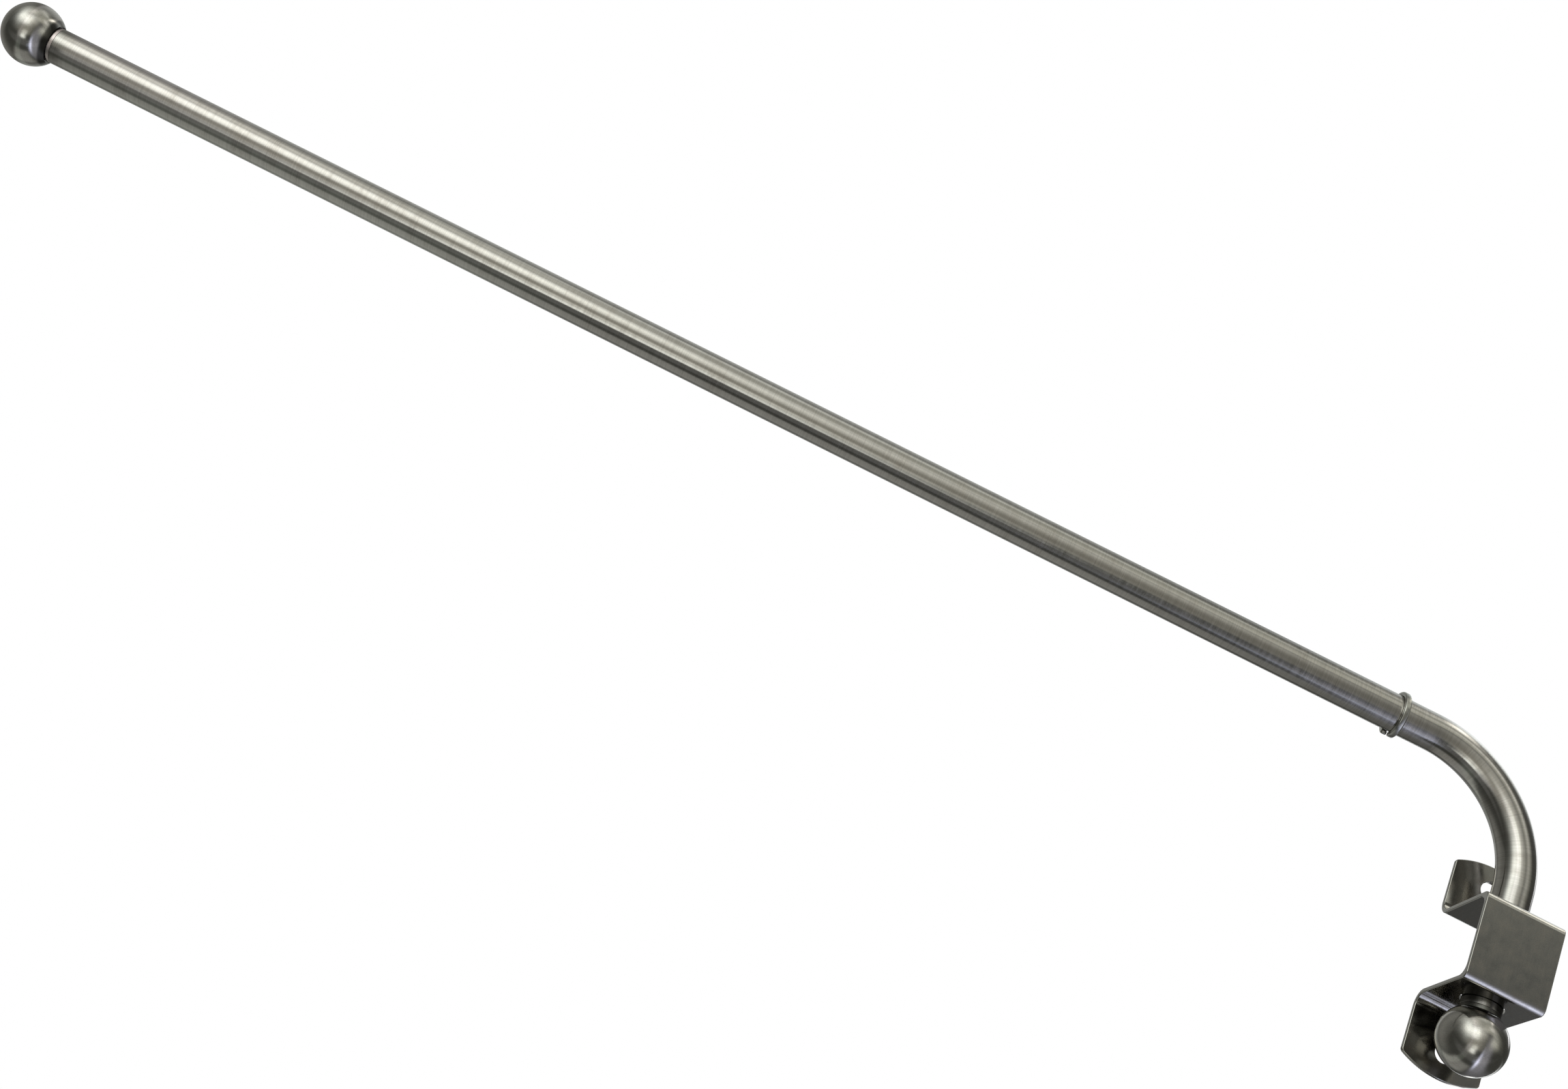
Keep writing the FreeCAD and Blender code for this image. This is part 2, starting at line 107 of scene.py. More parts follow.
def colour(name, value, description):
    """A colour setting."""
    return bpy.props.FloatVectorProperty(
        name=name, default=value, min=0.0, max=1.0, subtype="COLOR", description=description)


class RodTubeSettings(bpy.types.PropertyGroup):
    """Sizes of the bent tube."""
    radius: metres("Radius", TUBE_RADIUS, "Outside radius of the tube")
    wall: metres("Wall", 0.001, "Thickness of the tube's wall")
    elbow: metres("Elbow", 0.0395, "Radius of the tube's centre line round the elbow")
    rim: metres("Rim rounding", 0.00025, "Rounding of the tube's cut ends")
    facets: bpy.props.IntProperty(
        name="Facets round", default=128, min=16, max=256, description="Number of facets round the tube")


class StopRingSettings(bpy.types.PropertyGroup):
    """Sizes of the one-turn wire ring."""
    grip: metres("Gap", 0.00005, "Gap between the tube and the ring")
    width: metres("Width", 0.0020, "Width of the wire along the rod")
    height: metres("Height", 0.0015, "Height of the wire over the tube")
    pitch: metres("Step", 0.0019, "Step of the turn along the rod")
    corner: metres("Corner", 0.00042, "Rounding of the wire's corners")
    bevel: metres("Bevel", 0.0004, "Depth of the bevel on the square end")
    knob: share("Round end", 0.85, "How far the other end is rounded off")
    ends: bpy.props.FloatProperty(
        name="Ends", default=math.radians(27), subtype="ANGLE",
        description="Place of the two ends, from straight down to the wall side")


class NickelSettings(bpy.types.PropertyGroup):
    """Colours and gloss of the finish."""
    tube: colour("Tube", (0.47, 0.455, 0.43), "Colour of the brushed tube")
    bracket: colour("Bracket", (0.37, 0.363, 0.34), "Colour of the bracket")
    ball: colour("Ball", (0.47, 0.457, 0.43), "Colour of the balls")
    ring: colour("Ring", (0.43, 0.43, 0.40), "Colour of the stop ring")
    plug: colour("Tip plug", (0.55, 0.49, 0.48), "Colour of the plug between the rod and its ball")
    # The pivot plug's colour is painted shade: far darker than the tip plug, for the shade under the bracket
    painted_shade_neck: colour("Pivot plug", (0.12, 0.12, 0.11), "Colour of the leg's plug, as dark as in the photo")
    tarnish: colour("Tarnish", (0.33, 0.30, 0.265), "Colour of the faint stains")
    tube_gloss: share("Tube roughness", 0.13, "Roughness of the brushed tube")
    brushing: share("Brushing", 0.85, "How far the brushing stretches the highlights along the tube")
    ball_gloss: share("Ball roughness", 0.15, "Roughness of the balls")
    bracket_gloss: share("Bracket roughness", 0.14, "Roughness of the bracket")


class StudioSettings(bpy.types.PropertyGroup):
    """Floor, fill light and camera."""
    floor_drop: metres("Floor", 0.60, "How far the floor lies under the middle of the bracket")
    floor_reach: metres("Floor reach", 6.0, "How far the floor reaches each way")
    floor_glow: share("Floor glow", 0.62, "Light of the floor's own")
    floor: colour("Floor colour", (0.82, 0.82, 0.82), "Colour of the floor")
    level: bpy.props.FloatProperty(
        name="Light level", default=1.32, min=0.0, description="Strength of all the soft lights together")
    fill: colour("Fill", (0.055, 0.056, 0.050), "Light that comes from everywhere")
    focal: bpy.props.FloatProperty(
        name="Focal length", default=45.088, min=1.0, description="Focal length of the camera in millimetres")


class SoftStrip(typing.NamedTuple):
    """A soft light, as a strip round the rod.

    turn is counted in degrees about the rod's own line, from straight out of the wall and then upwards. slant
    leans towards the elbow when positive and towards the tip when negative. reach gives the half widths in
    turn and in slant, and edge how sharply each stops: 2 fades, 8 cuts.
    """
    turn: float
    slant: float
    reach: tuple
    edge: tuple
    colour: tuple


# These numbers come from a least-squares fit of the strips to the brightness of the rod in the photo, made by a
# scratch script and then rounded. Eight strips were changed and one was added after the fit
SOFT_STRIPS = (
    # Ahead of the rod, about level
    SoftStrip(12, -0.32, (21, 0.24), (4, 2), (1.05, 1.08, 1.05)),
    SoftStrip(12, -0.15, (11, 0.05), (2, 2), (0.32, 0.35, 0.31)),
    SoftStrip(22, -0.25, (17, 0.56), (2, 8), (0.35, 0.35, 0.32)),
    SoftStrip(29, -0.66, (36, 0.18), (2, 2), (1.05, 1.10, 1.05)),
    SoftStrip(35, -0.38, (78, 0.05), (2, 2), (0.19, 0.17, 0.19)),
    SoftStrip(-10, -0.15, (30, 0.42), (8, 2), (0.29, 0.28, 0.24)),
    # Ahead and low
    SoftStrip(-42, -0.10, (14, 0.15), (4, 3), (0.61, 0.62, 0.58)),
    SoftStrip(-46, -0.15, (4, 0.12), (6, 8), (0.42, 0.44, 0.41)),
    SoftStrip(-53, -0.14, (3.5, 0.16), (2, 3), (0.80, 0.83, 0.80)),
    SoftStrip(-46, -0.33, (12, 0.15), (3, 8), (0.27, 0.27, 0.26)),
    # Straight below
    SoftStrip(-70, 0.00, (12, 0.85), (6, 6), (0.06, 0.06, 0.06)),
    SoftStrip(-77, 0.32, (6, 0.14), (2, 8), (0.10, 0.12, 0.17)),
    SoftStrip(-75, 0.39, (28, 0.05), (2, 2), (1.35, 1.42, 1.85)),
    SoftStrip(-73, 0.57, (78, 0.20), (2, 4), (0.24, 0.24, 0.28)),
    # Low, on the wall's side
    SoftStrip(-128, -0.09, (28, 0.37), (8, 8), (0.20, 0.20, 0.19)),
    SoftStrip(-126, -0.30, (62, 0.12), (8, 8), (0.07, 0.08, 0.07)),
    # Ahead on the elbow's side, then ahead and raised
    SoftStrip(8, 0.71, (22, 0.19), (2, 3), (0.43, 0.43, 0.37)),
    SoftStrip(41, 0.31, (15, 0.43), (8, 2), (0.33, 0.33, 0.28)),
    SoftStrip(43, 0.45, (7, 0.14), (2, 2), (0.46, 0.45, 0.44)),
    SoftStrip(50, -0.34, (13, 0.22), (3, 2), (0.64, 0.64, 0.58)),
    # Straight above
    SoftStrip(63, 0.12, (8, 0.29), (3, 2), (0.44, 0.45, 0.41)),
    SoftStrip(78, 0.39, (14, 0.05), (2, 2), (2.60, 2.52, 2.30)),
    SoftStrip(72, -0.19, (10, 0.69), (8, 2), (0.12, 0.12, 0.10)),
    SoftStrip(72, -0.09, (6, 0.14), (2, 2), (0.34, 0.35, 0.35)),
    # High, on the wall's side
    SoftStrip(130, -0.10, (53, 0.29), (2, 6), (0.40, 0.41, 0.40)),
    SoftStrip(120, 0.46, (28, 0.19), (3, 2), (1.10, 1.15, 1.15)),
    SoftStrip(136, 0.72, (6.5, 0.10), (8, 4), (0.95, 0.95, 1.00)),
    SoftStrip(148, -0.72, (78, 0.31), (4, 2), (0.15, 0.15, 0.14)),
    # Level, on the wall's side
    SoftStrip(176, 0.51, (5, 0.23), (6, 2), (1.25, 1.30, 1.30)),
    SoftStrip(-172, 0.48, (4, 0.05), (4, 4), (1.60, 1.60, 1.60)),
)


def settings(name):
    """One of the scene's groups of settings."""
    return getattr(bpy.context.scene, "curtain_rod_" + name)


def skin(name, grid, flow, wrap_along=False):
    """A closed smooth mesh from a grid of points: rows go along the piece, columns go round it.

    flow gives each point's place on the unrolled piece, in metres: x along it, y and z round it. It is kept
    as the attribute flow, and as the UV map grain with u along the piece and v round it.
    """
    rows, columns = grid.shape[:2]
    steps = rows if wrap_along else rows - 1
    i, j = np.meshgrid(np.arange(steps), np.arange(columns), indexing="ij")
    corners = np.stack([(i, j), (i + 1, j), (i + 1, j + 1), (i, j + 1)])
    row, column = corners[:, 0].reshape(4, -1).T, corners[:, 1].reshape(4, -1).T
    quads = (row % rows) * columns + column % columns
    points = grid.reshape(-1, 3)
    places = flow.reshape(-1, 3)
    along = np.append(flow[:, 0, 0], flow[0, 0, 0])
    loops = quads.ravel()
    uv = np.stack([along[row % rows].ravel(), column.ravel() / columns * GRAIN_GIRTH], axis=-1)
    starts, totals = np.arange(len(quads)) * 4, np.full(len(quads), 4)
    if not wrap_along:
        caps = []
        for end, turn in ((0, 1), (rows - 1, -1)):
            ring = end * columns + np.arange(columns)
            pole = np.full(columns, len(points) + len(caps))
            caps.append(np.stack([pole, ring, np.roll(ring, -1)][::turn], axis=-1))
        points = np.vstack([points, grid[0].mean(axis=0), grid[-1].mean(axis=0)])
        places = np.vstack([places, flow[0].mean(axis=0), flow[-1].mean(axis=0)])
        fans = np.vstack(caps)
        loops = np.append(loops, fans.ravel())
        uv = np.vstack([uv, places[fans.ravel()][:, :2]])
        starts = np.append(starts, len(quads) * 4 + np.arange(len(fans)) * 3)
        totals = np.append(totals, np.full(len(fans), 3))
    mesh = bpy.data.meshes.new(name)
    mesh.vertices.add(len(points))
    mesh.vertices.foreach_set("co", points.astype(np.float32).ravel())
    mesh.loops.add(len(loops))
    mesh.loops.foreach_set("vertex_index", loops.astype(np.int32))
    mesh.polygons.add(len(starts))
    mesh.polygons.foreach_set("loop_start", starts.astype(np.int32))
    mesh.polygons.foreach_set("loop_total", totals.astype(np.int32))
    mesh.update(calc_edges=True)
    mesh.shade_smooth()
    flow_data = mesh.attributes.new("flow", "FLOAT_VECTOR", "POINT").data
    flow_data.foreach_set("vector", places.astype(np.float32).ravel())
    grain_data = mesh.uv_layers.new(name="grain").data
    grain_data.foreach_set("uv", uv.astype(np.float32).ravel())
    if signed_volume(points, loops, starts, totals) < 0:
        mesh.flip_normals()
    if mesh.validate():
        raise RuntimeError(name + " has a fault in its mesh")
    piece = bpy.data.objects.new(name, mesh)
    bpy.context.scene.collection.objects.link(piece)
    return piece


def signed_volume(points, loops, starts, totals):
    """Six times the volume inside the faces: the sum of each triangle's triple product, from the middle."""
    middle = points - points.mean(axis=0)
    total = 0.0
    for extra in (0, 1):
        faces = totals > 2 + extra
        first, second, third = (middle[loops[starts[faces] + k]] for k in (0, 1 + extra, 2 + extra))
        total += np.einsum("ij,ij->", first, np.cross(second, third))
    return total


def tube_path(place, spec):
    """Centre line of the tube at each place: a leg going up, a quarter circle and the rod going along -X.

    Returns each place's point, and the direction that points away from the elbow's centre.
    """
    foot = TUBE_LOW.z
    height = TUBE_HIGH.z - spec.radius
    straight = height - spec.elbow - foot
    bend = spec.elbow * math.pi / 2
    angle = np.clip((place - straight) / spec.elbow, 0, math.pi / 2)
    out = np.stack([np.cos(angle), np.zeros_like(angle), np.sin(angle)], axis=-1)
    centre = np.array([-spec.elbow, AXIS_Y, height - spec.elbow])
    before = np.minimum(place - straight, 0)[:, None] * np.array([0, 0, 1])
    after = np.maximum(place - straight - bend, 0)[:, None] * np.array([-1, 0, 0])
    return centre + spec.elbow * out + before + after, out


class CURTAIN_ROD_OT_tube(bpy.types.Operator):
    """Makes the smooth brushed tube"""
    bl_idname = "curtain_rod.tube"
    bl_label = "Tube"

    def execute(self, context):
        """The closed outline of the wall, as place along the path and radius, is carried round the path."""
        spec = settings("tube")
        height = TUBE_HIGH.z - spec.radius
        leg = height - spec.elbow - TUBE_LOW.z
        bend = spec.elbow * math.pi / 2
        length = leg + bend - spec.elbow - TUBE_LOW.x
        stations = np.concatenate([
            np.linspace(spec.rim, leg, LEG_STEPS, endpoint=False),
            np.linspace(leg, leg + bend, ELBOW_STEPS, endpoint=False),
            np.linspace(leg + bend, length - spec.rim, ROD_STEPS),
        ])
        quarter = np.linspace(0, math.pi / 2, RIM_STEPS)
        rim_place = spec.rim * (1 - np.cos(quarter))
        rim_radius = spec.radius - spec.rim * (1 - np.sin(quarter))
        bore = spec.radius - spec.wall
        share_outside = np.linspace(0, 1, len(stations))
        share_inside = np.linspace(0, 1, BORE_STEPS)
        back = np.concatenate([[length], stations[::-1][1:-1], [0]])
        bore_place = np.interp(share_inside, share_outside, back)
        place = np.concatenate([rim_place[:-1], stations, (length - rim_place[::-1])[1:], bore_place])
        radius = np.concatenate([rim_radius[:-1], np.full(len(stations), spec.radius), rim_radius[::-1][1:],
                                 np.full(BORE_STEPS, bore)])
        points, out = tube_path(place, spec)
        around = np.linspace(0, 2 * math.pi, spec.facets, endpoint=False)
        spoke = (out[:, None, :] * np.cos(around)[None, :, None]
                 + WALL_SIDE[None, None, :] * np.sin(around)[None, :, None])
        grid = points[:, None, :] + radius[:, None, None] * spoke
        flow = np.stack(np.broadcast_arrays(place[:, None], radius[:, None] * np.cos(around),
                                            radius[:, None] * np.sin(around)), axis=-1)
        tube = skin("brushed_tube", grid, flow, wrap_along=True)
        tube.data.materials.append(tube_finish())
        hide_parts("rod_tube")
        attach(tube, "arm")
        return {"FINISHED"}


class CURTAIN_ROD_OT_ring(bpy.types.Operator):
    """Makes the one-turn stop ring"""
    bl_idname = "curtain_rod.ring"
    bl_label = "Stop ring"

    def execute(self, context):
        """A rounded rectangle, shrunk over the last of each end, is carried round one turn of a helix."""
        tube, spec = settings("tube"), settings("ring")
        inner = tube.radius + spec.grip
        middle = inner + spec.height / 2
        reach = 2 * math.pi * middle
        round_end = spec.height / 2
        sweep = np.linspace(0, math.pi / 2, KNOB_STEPS)
        square = spec.bevel * BEVEL_PLACES / reach
        knob = round_end * (1 - np.sin(sweep)) / reach
        knob_size = np.sqrt(1 - np.sin(sweep) ** 2 * spec.knob)
        between = np.linspace(square[-1], 1 - knob[0], RING_STEPS)[1:-1]
        turn = np.concatenate([square, between, 1 - knob])
        scale = np.concatenate([BEVEL_SIZES, np.ones(len(between)), knob_size])
        corner = np.linspace(0, math.pi / 2, CORNER_STEPS)
        half_width = spec.width / 2 - spec.corner
        half_height = spec.height / 2 - spec.corner
        quarters = ((1, 1, 0), (-1, 1, math.pi / 2), (-1, -1, math.pi), (1, -1, 1.5 * math.pi))
        section = np.concatenate([
            np.stack([sx * half_width + spec.corner * np.cos(corner + start),
                      sy * half_height + spec.corner * np.sin(corner + start)], axis=-1)
            for sx, sy, start in quarters])
        to_ends = np.array([0, math.sin(spec.ends), -math.cos(spec.ends)])
        to_tip = np.array([-1.0, 0, 0])
        across = np.cross(to_tip, to_ends)
        angle = 2 * math.pi * turn
        spoke = np.cos(angle)[:, None] * to_ends + np.sin(angle)[:, None] * across
        start_x = (RING_LOW.x + RING_HIGH.x) / 2 + spec.pitch / 2
        centre = np.array([start_x, AXIS_Y, TUBE_HIGH.z - tube.radius]) + spec.pitch * turn[:, None] * to_tip
        along = scale[:, None] * section[None, :, 0]
        over = middle + scale[:, None] * section[None, :, 1]
        grid = centre[:, None, :] + along[..., None] * to_tip + over[..., None] * spoke[:, None, :]
        flow = np.stack(np.broadcast_arrays(reach * turn[:, None], along, over - middle), axis=-1)
        ring = skin("wire_stop_ring", grid, flow)
        ring.data.materials.append(ring_finish())
        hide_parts("stop_ring")
        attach(ring, "arm")
        return {"FINISHED"}


def add_node(tree, kind, links=None, **values):
    """A node with its properties set; links gives values or other nodes' sockets for its inputs."""
    node = tree.nodes.new(kind)
    for name, value in values.items():
        setattr(node, name, value)
    for name, value in (links or {}).items():
        if isinstance(value, bpy.types.NodeSocket):
            tree.links.new(value, node.inputs[name])
        else:
            node.inputs[name].default_value = value
    return node


def sum_up(tree, operation, first, second=0.0):
    """A Math node's value."""
    return add_node(tree, "ShaderNodeMath", {0: first, 1: second}, operation=operation).outputs[0]


def spread(tree, value, low, high, to_low=0.0, to_high=1.0):
    """A value between low and high, carried to between to_low and to_high and kept there."""
    return add_node(tree, "ShaderNodeMapRange", {"Value": value, "From Min": low, "From Max": high,
                                                 "To Min": to_low, "To Max": to_high}).outputs[0]


def blended(tree, factor, first, second, mode="MIX"):
    """A colour between two colours."""
    links = {0: factor, 6: first, 7: second}
    return add_node(tree, "ShaderNodeMix", links, data_type="RGBA", blend_type=mode).outputs[2]


def new_group(name, inputs, outputs):
    """An empty shader group with named sockets: the tree, its input node and its output node."""
    tree = bpy.data.node_groups.new(name, "ShaderNodeTree")
    for label, kind, default in inputs:
        socket = tree.interface.new_socket(label, in_out="INPUT", socket_type=kind)
        socket.default_value = default
    for label, kind in outputs:
        tree.interface.new_socket(label, in_out="OUTPUT", socket_type=kind)
    return tree, tree.nodes.new("NodeGroupInput"), tree.nodes.new("NodeGroupOutput")


def brush_group():
    """Fine brush lines: noise squeezed hard along one axis and stretched across it, at two sizes."""
    name = "brush lines"
    if name in bpy.data.node_groups:
        return bpy.data.node_groups[name]
    tree, given, result = new_group(
        name,
        [("Place", "NodeSocketVector", (0, 0, 0)), ("Line width", "NodeSocketFloat", 0.0003),
         ("Line length", "NodeSocketFloat", 0.01)],
        [("Lines", "NodeSocketFloat"), ("Streaks", "NodeSocketFloat")])
    narrow = sum_up(tree, "DIVIDE", 1.0, given.outputs["Line width"])
    wide = sum_up(tree, "DIVIDE", 1.0, given.outputs["Line length"])
    scale = add_node(tree, "ShaderNodeCombineXYZ", {0: narrow, 1: wide, 2: wide}).outputs[0]
    stretch = {0: given.outputs["Place"], 1: scale}
    placed = add_node(tree, "ShaderNodeVectorMath", stretch, operation="MULTIPLY").outputs[0]
    fine = add_node(
        tree, "ShaderNodeTexNoise", {"Vector": placed, "Scale": 1.0, "Detail": 3.0, "Roughness": 0.6})
    coarse = add_node(
        tree, "ShaderNodeTexNoise", {"Vector": placed, "Scale": 0.17, "Detail": 2.0, "Roughness": 0.5})
    tree.links.new(fine.outputs[0], result.inputs["Lines"])
    tree.links.new(coarse.outputs[0], result.inputs["Streaks"])
    return tree


def mottle_group():
    """Cloudy patches and fine grain: two sizes of noise over the piece, each as a mask from 0 to 1."""
    name = "mottled plating"
    if name in bpy.data.node_groups:
        return bpy.data.node_groups[name]
    tree, given, result = new_group(
        name,
        [("Place", "NodeSocketVector", (0, 0, 0)), ("Patch size", "NodeSocketFloat", 0.006),
         ("Grain size", "NodeSocketFloat", 0.0004)],
        [("Patches", "NodeSocketFloat"), ("Grain", "NodeSocketFloat")])
    patch_scale = sum_up(tree, "DIVIDE", 1.0, given.outputs["Patch size"])
    grain_scale = sum_up(tree, "DIVIDE", 1.0, given.outputs["Grain size"])
    place = given.outputs["Place"]
    patches = add_node(
        tree, "ShaderNodeTexNoise", {"Vector": place, "Scale": patch_scale, "Detail": 4.0, "Roughness": 0.55})
    grain = add_node(
        tree, "ShaderNodeTexNoise", {"Vector": place, "Scale": grain_scale, "Detail": 3.0, "Roughness": 0.65})
    tree.links.new(spread(tree, patches.outputs[0], 0.35, 0.68), result.inputs["Patches"])
    tree.links.new(spread(tree, grain.outputs[0], 0.25, 0.75), result.inputs["Grain"])
    return tree


def grouped(tree, group, links):
    """A group node with its inputs filled."""
    return add_node(tree, "ShaderNodeGroup", links, node_tree=group)


def new_material(name):
    """A material with an empty tree, its Principled BSDF and its output."""
    material = bpy.data.materials.new(name)
    material.use_nodes = True
    tree = material.node_tree
    tree.nodes.clear()
    shader = tree.nodes.new("ShaderNodeBsdfPrincipled")
    shader.inputs["Metallic"].default_value = 1.0
    output = tree.nodes.new("ShaderNodeOutputMaterial")
    tree.links.new(shader.outputs[0], output.inputs["Surface"])
    return material, tree, shader


def opaque(rgb):
    """A colour with its alpha."""
    return (*rgb, 1.0)


def object_place(tree, centre=(0, 0, 0), turn=(0, 0, 0)):
    """Object coordinates counted from a point, and turned."""
    place = add_node(tree, "ShaderNodeTexCoord").outputs["Object"]
    return add_node(tree, "ShaderNodeMapping", {"Vector": place, "Location": centre, "Rotation": turn},
                    vector_type="TEXTURE").outputs[0]


def shaded_base(tree, shader, base, shade):
    """Joins a base colour to the shader, darkened by a value."""
    grey = add_node(tree, "ShaderNodeCombineXYZ", {0: shade, 1: shade, 2: shade}).outputs[0]
    tree.links.new(blended(tree, 1.0, base, grey, "MULTIPLY"), shader.inputs["Base Color"])


def tube_finish():
    """Brushed nickel with marks round the tube, faint stains, a little unevenness in the gloss, and painted
    shade at the foot of the leg.
    """
    look = settings("nickel")
    strongest_stain = 0.55
    stain_roughness = 0.12
    streak_roughness = 0.03
    darkest_line = 0.88
    brightest_line = 1.10
    foot_start = 0.0035
    foot_end = 0.0050
    foot_shade = 0.30
    material, tree, shader = new_material("nickel_brushed_round")
    place = add_node(tree, "ShaderNodeAttribute", attribute_name="flow").outputs["Vector"]
    brush = grouped(tree, brush_group(), {"Place": place, "Line width": 0.00026, "Line length": 0.015})
    streaked = add_node(tree, "ShaderNodeMapping", {"Vector": place, "Scale": (3.0, 1.0, 1.0)}).outputs[0]
    stains = grouped(tree, mottle_group(), {"Place": streaked, "Patch size": 0.014, "Grain size": 0.0012})
    patches = spread(tree, stains.outputs["Patches"], 0.45, 1.0, 0.0, strongest_stain)
    stain = sum_up(tree, "MULTIPLY", patches, stains.outputs["Grain"])
    base = blended(tree, stain, opaque(look.tube), opaque(look.tarnish))
    lines = spread(tree, brush.outputs["Lines"], 0.3, 0.7, darkest_line, brightest_line)
    along = add_node(tree, "ShaderNodeSeparateXYZ", {0: place}).outputs["X"]
    # Painted shade: the foot of the leg, under the bracket's lower arm, is darkened. The foot
    # of the leg is darkened to match the photo, whether that is tarnish or only shade
    foot = spread(tree, along, foot_start, foot_end, foot_shade, 1.0)
    shaded_base(tree, shader, base, sum_up(tree, "MULTIPLY", lines, foot))
    streaks = spread(tree, brush.outputs["Streaks"], 0.3, 0.7, -streak_roughness, streak_roughness)
    gloss = sum_up(tree, "ADD", streaks, look.tube_gloss)
    gloss = sum_up(tree, "ADD", gloss, sum_up(tree, "MULTIPLY", stain, stain_roughness))
    tree.links.new(gloss, shader.inputs["Roughness"])
    shader.inputs["Anisotropic"].default_value = look.brushing
    grain = add_node(tree, "ShaderNodeTangent", direction_type="UV_MAP", uv_map="grain")
    tree.links.new(grain.outputs[0], shader.inputs["Tangent"])
    height = brush.outputs["Lines"]
    bump = add_node(tree, "ShaderNodeBump", {"Height": height, "Distance": 1e-6, "Strength": 0.6})
    tree.links.new(bump.outputs[0], shader.inputs["Normal"])
    return material


def satin_finish(name, base_colour, roughness, centre=(0, 0, 0), turn=(0, 0, 0), patch=0.0045, grain=0.0005,
                 depth=3e-6, line_width=0.0004, contrast=0.35, shaded=None):
    """Satin nickel: patches and grain over the whole piece, and fine marks round the axis it was turned on.

    shaded gives two places on that axis: the colour darkens from the first to the second, as painted shade at
    the mouth where the plug goes in. shaded gives two places on that axis: the colour darkens from the first
    to the second, to match the dark mouth in the photo. Whether that is tarnish or only shade isn't known.
    """
    look = settings("nickel")
    mouth_shade = 0.3
    line_height = 0.7
    material, tree, shader = new_material(name)
    place = object_place(tree, centre, turn)
    plating = grouped(tree, mottle_group(), {"Place": place, "Patch size": patch, "Grain size": grain})
    brush = grouped(tree, brush_group(), {"Place": place, "Line width": line_width, "Line length": 0.008})
    stain = spread(tree, plating.outputs["Patches"], 0.3, 1.0, 0.0, contrast)
    base = blended(tree, stain, opaque(base_colour), opaque(look.tarnish))
    marks = sum_up(tree, "ADD", plating.outputs["Grain"], brush.outputs["Lines"])
    shade = spread(tree, marks, 0.5, 1.5, 0.9, 1.1)
    # Painted shade: the colour darkens towards the mouth
    if shaded:
        along = add_node(tree, "ShaderNodeSeparateXYZ", {0: place}).outputs["X"]
        mouth = spread(tree, along, shaded[0], shaded[1], 1.0, mouth_shade)
        shade = sum_up(tree, "MULTIPLY", shade, mouth)
    shaded_base(tree, shader, base, shade)
    uneven = spread(tree, plating.outputs["Patches"], 0.0, 1.0, -0.03, 0.04)
    tree.links.new(sum_up(tree, "ADD", uneven, roughness), shader.inputs["Roughness"])
    lines = sum_up(tree, "MULTIPLY", brush.outputs["Lines"], line_height)
    height = sum_up(tree, "ADD", plating.outputs["Grain"], lines)
    bump = add_node(tree, "ShaderNodeBump", {"Height": height, "Distance": depth, "Strength": 0.5})
    tree.links.new(bump.outputs[0], shader.inputs["Normal"])
    return material


def ring_finish():
    """Satin wire, drawn smooth, with a faint grain."""
    return satin_finish(
        "nickel_wire", settings("nickel").ring, 0.22, patch=0.003, grain=0.0009, depth=4e-7,
        line_width=0.002, contrast=0.2)


def bracket_finish():
    """Satin plating with small cloudy patches."""
    look = settings("nickel")
    return satin_finish(
        "nickel_strip", look.bracket, look.bracket_gloss, patch=0.004, grain=0.0004, depth=3e-7,
        line_width=0.0008, contrast=0.45)


def ball_finish(end, turn):
    """Satin nickel, with painted shade at the mouth where the plug goes in."""
    look = settings("nickel")
    return satin_finish(
        "nickel_ball_" + end, look.ball, look.ball_gloss, middle_of(end + "_ball"), turn, patch=0.005,
        depth=2e-6, line_width=0.0003, shaded=(0.0079, 0.0085))


def plug_finish(end, turn, plug_colour_and_shade):
    """Turned nickel with fine marks, in the given colour, which for the pivot's plug is painted shade."""
    return satin_finish(
        "nickel_plug_" + end, plug_colour_and_shade, 0.30, middle_of(end + "_plug"), turn, patch=0.003,
        line_width=0.00015, contrast=0.3)


def stud_finish(end, turn):
    """Plain steel."""
    return satin_finish(
        "steel_stud_" + end, (0.5, 0.5, 0.5), 0.35, middle_of(end + "_stud"), turn, line_width=0.0002)


def middle_of(node):
    """The middle of a part's box."""
    low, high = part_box(node)
    return (low + high) / 2


def refinish(node, material):
    """Gives every slot of a part this material."""
    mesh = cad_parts[node].data
    for index in range(len(mesh.materials)):
        mesh.materials[index] = material


class CURTAIN_ROD_OT_bracket(bpy.types.Operator):
    """Gives the folded bracket its mottled satin plating"""
    bl_idname = "curtain_rod.bracket"
    bl_label = "Wall bracket"

    def execute(self, context):
        """The bracket keeps the solid's own shape."""
        refinish("wall_bracket", bracket_finish())
        return {"FINISHED"}


class CURTAIN_ROD_OT_finials(bpy.types.Operator):
    """Gives the balls, plugs and studs their finish"""
    bl_idname = "curtain_rod.finials"
    bl_label = "Ball finials"

    def execute(self, context):
        """Each end's pieces are marked round the axis that they were turned on."""
        look = settings("nickel")
        along_rod = (0, 0, 0)
        along_leg = (0, -math.pi / 2, 0)
        # The pivot's plug takes the darkened colour that stands for painted shade under the bracket
        for end, turn, plug_colour_and_shade in (("tip", along_rod, look.plug), ("pivot", along_leg, look.painted_shade_neck)):
            refinish(end + "_ball", ball_finish(end, turn))
            refinish(end + "_plug", plug_finish(end, turn, plug_colour_and_shade))
            refinish(end + "_stud", stud_finish(end, turn))
        return {"FINISHED"}


